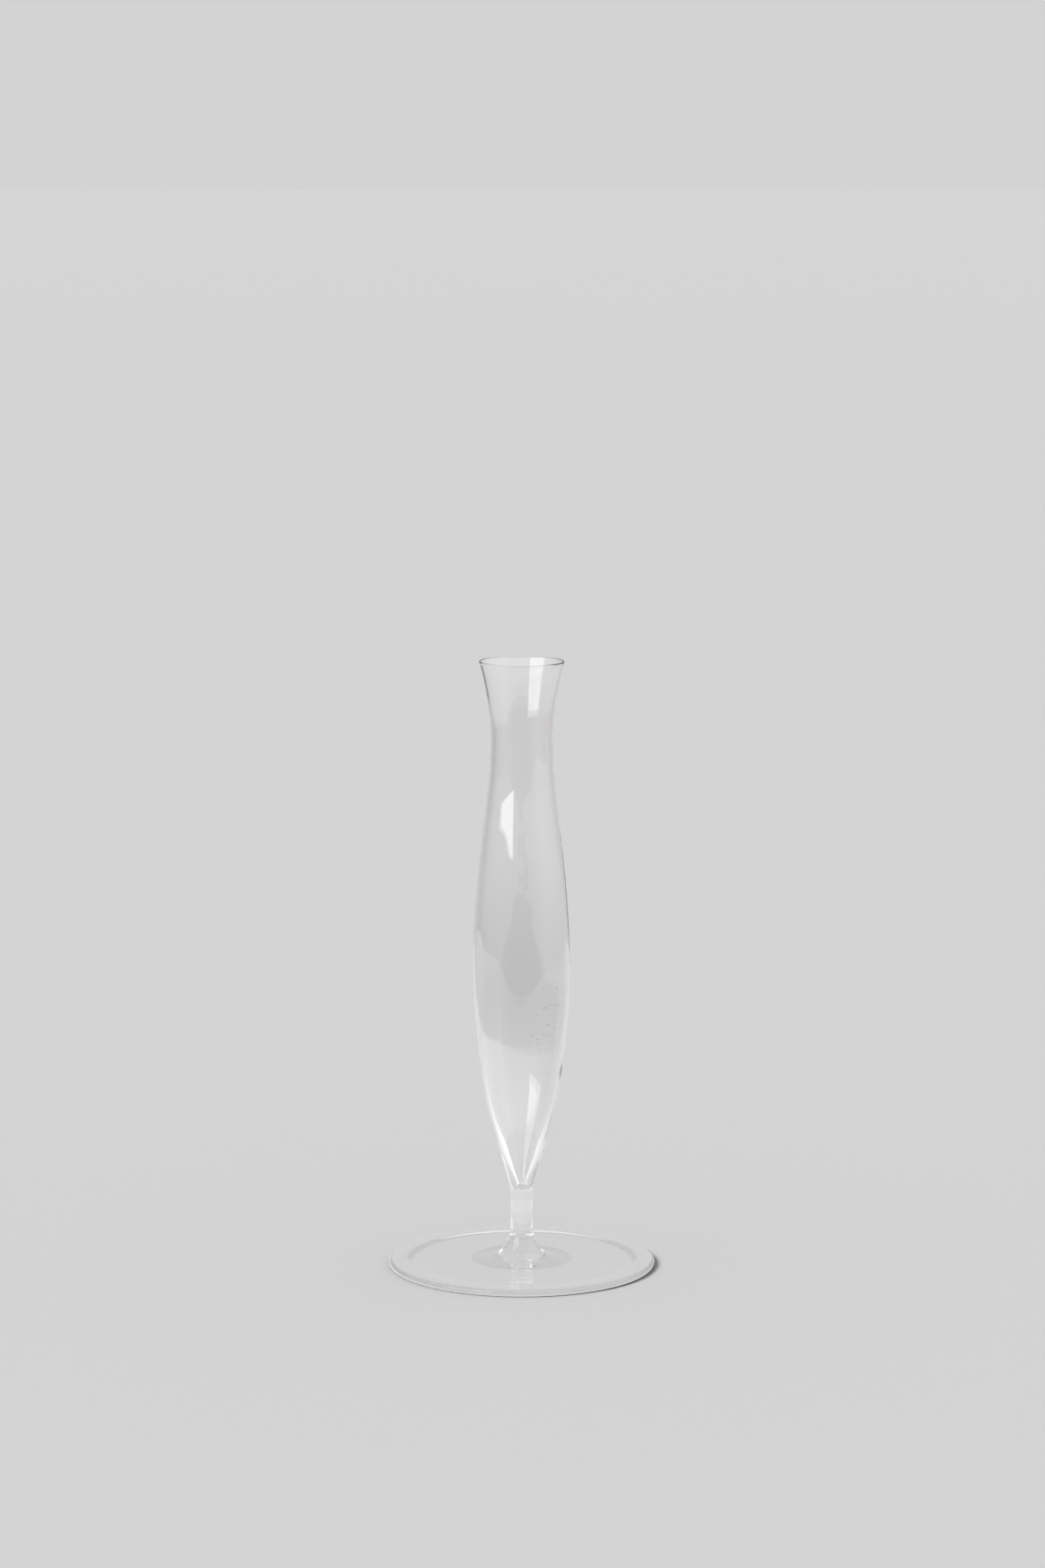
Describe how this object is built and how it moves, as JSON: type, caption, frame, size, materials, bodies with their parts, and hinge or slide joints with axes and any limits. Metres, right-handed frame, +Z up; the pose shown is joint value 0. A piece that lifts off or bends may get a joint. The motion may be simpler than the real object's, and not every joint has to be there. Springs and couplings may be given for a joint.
{
  "type": "footed bud vase",
  "caption": "Slender footed bud vase in clear glass: flared mouth, narrow neck and long belly tapering to a short stem, a small collar and a wide thin foot with tooled rings.",
  "frame": {"origin": "centre of the plane that the foot rests on", "axes": "+Z up along the vase's axis of revolution, +X and +Y level and interchangeable"},
  "size_m": [0.092, 0.092, 0.21],
  "materials": {
    "clear_glass": "clear colourless blown glass, fire-polished and glossy"
  },
  "bodies": {
    "root": {"bowl": "clear_glass", "stem": "clear_glass", "collar": "clear_glass", "foot": "clear_glass"}
  },
  "joints": []
}
